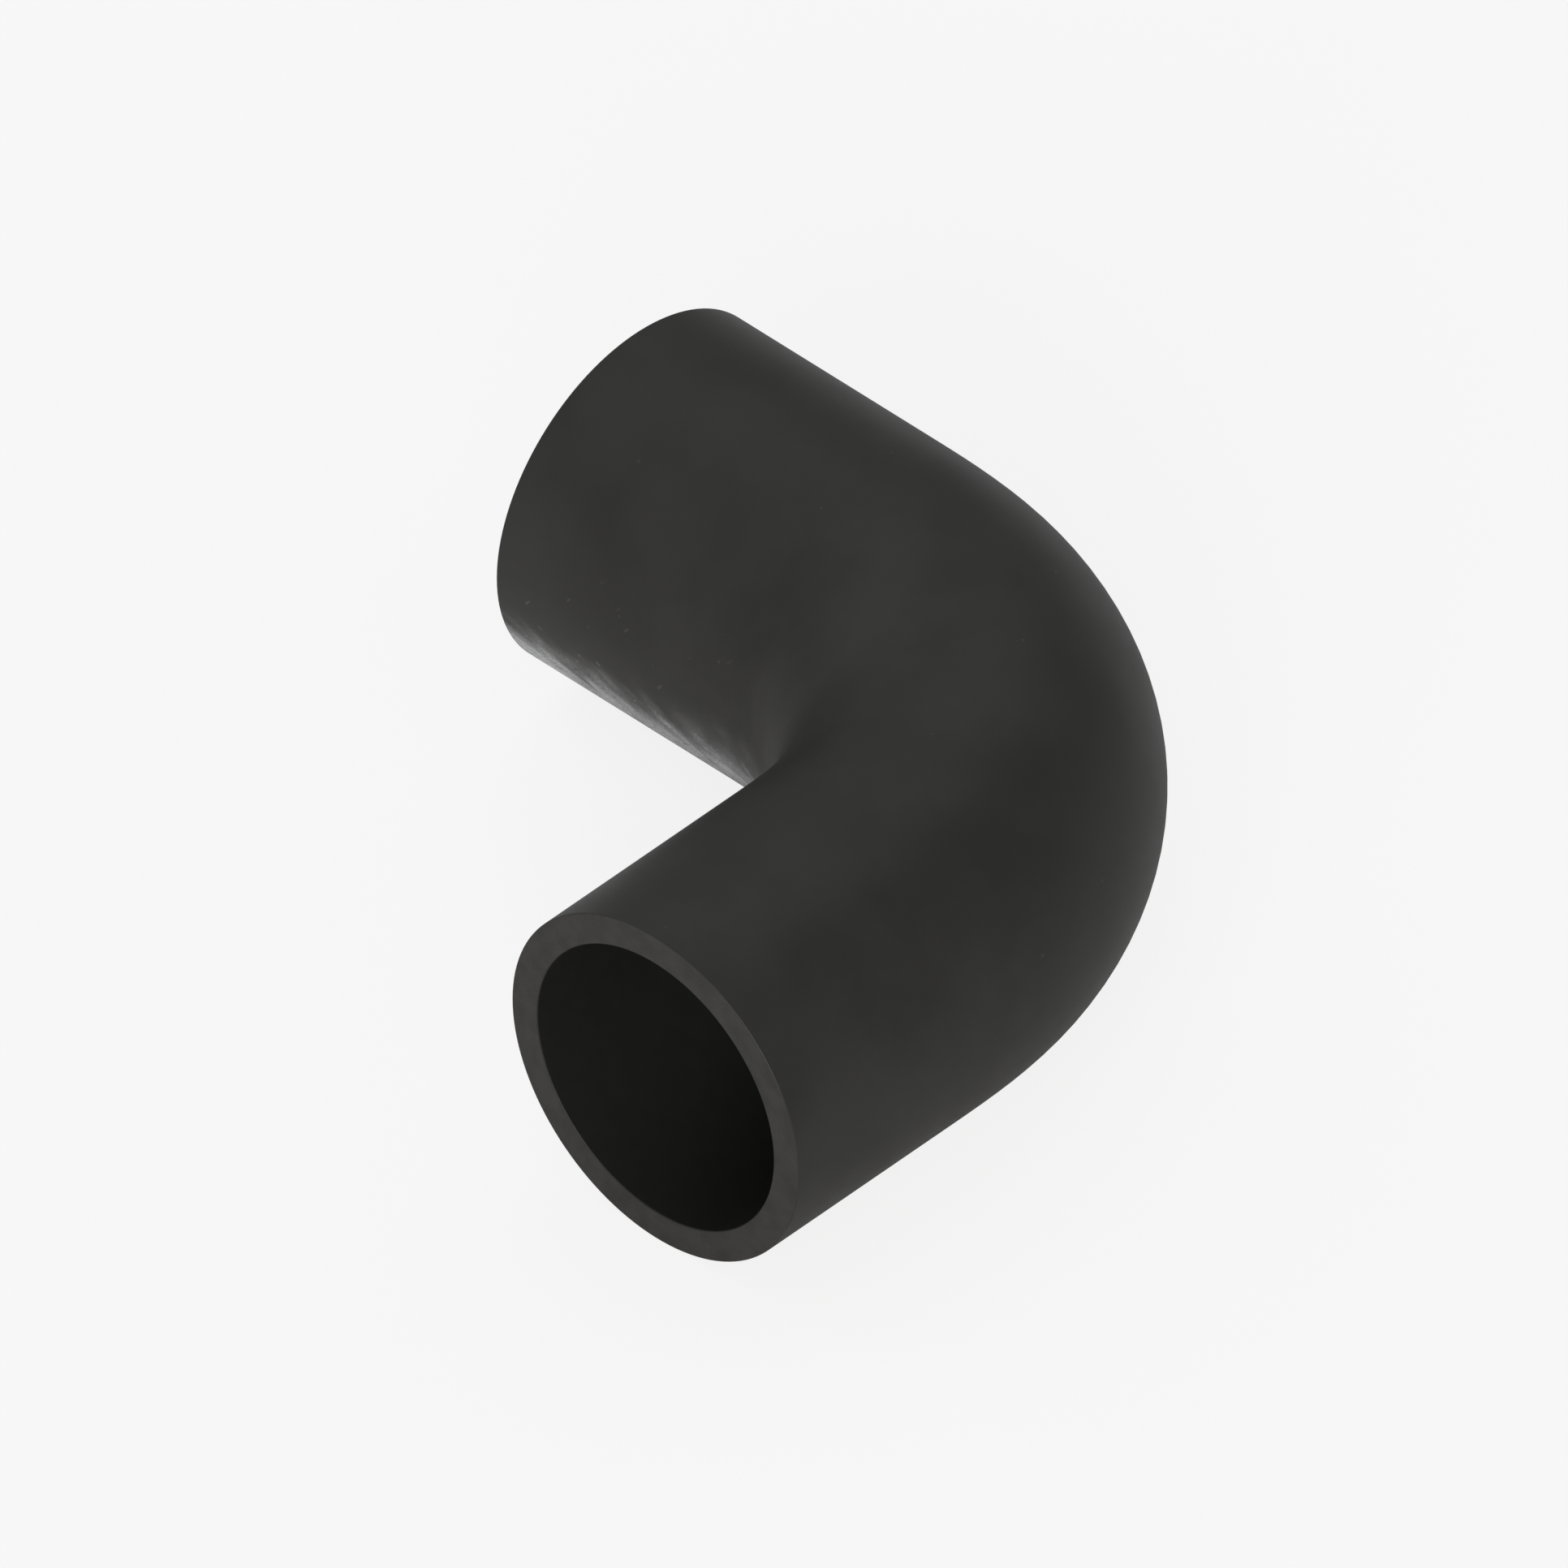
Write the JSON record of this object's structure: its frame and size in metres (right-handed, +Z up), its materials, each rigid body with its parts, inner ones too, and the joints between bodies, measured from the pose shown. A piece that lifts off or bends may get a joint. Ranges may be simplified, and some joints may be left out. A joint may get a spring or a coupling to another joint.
{
  "type": "radiator hose",
  "caption": "Moulded rubber elbow hose with two equal straight legs and an even wall, open at both ends, for joining a radiator to an engine's coolant stubs.",
  "frame": {"origin": "under the middle of the hose's box, on the surface that it lies on", "axes": "+Z up, across both legs; leg A's mouth faces -Y, and leg B's mouth faces -X"},
  "size_m": [0.1328, 0.1328, 0.0617],
  "materials": {
    "rubber": "smooth moulded black rubber, satin, with faint scuffs"
  },
  "bodies": {
    "root": {"hose": "rubber"}
  },
  "joints": []
}
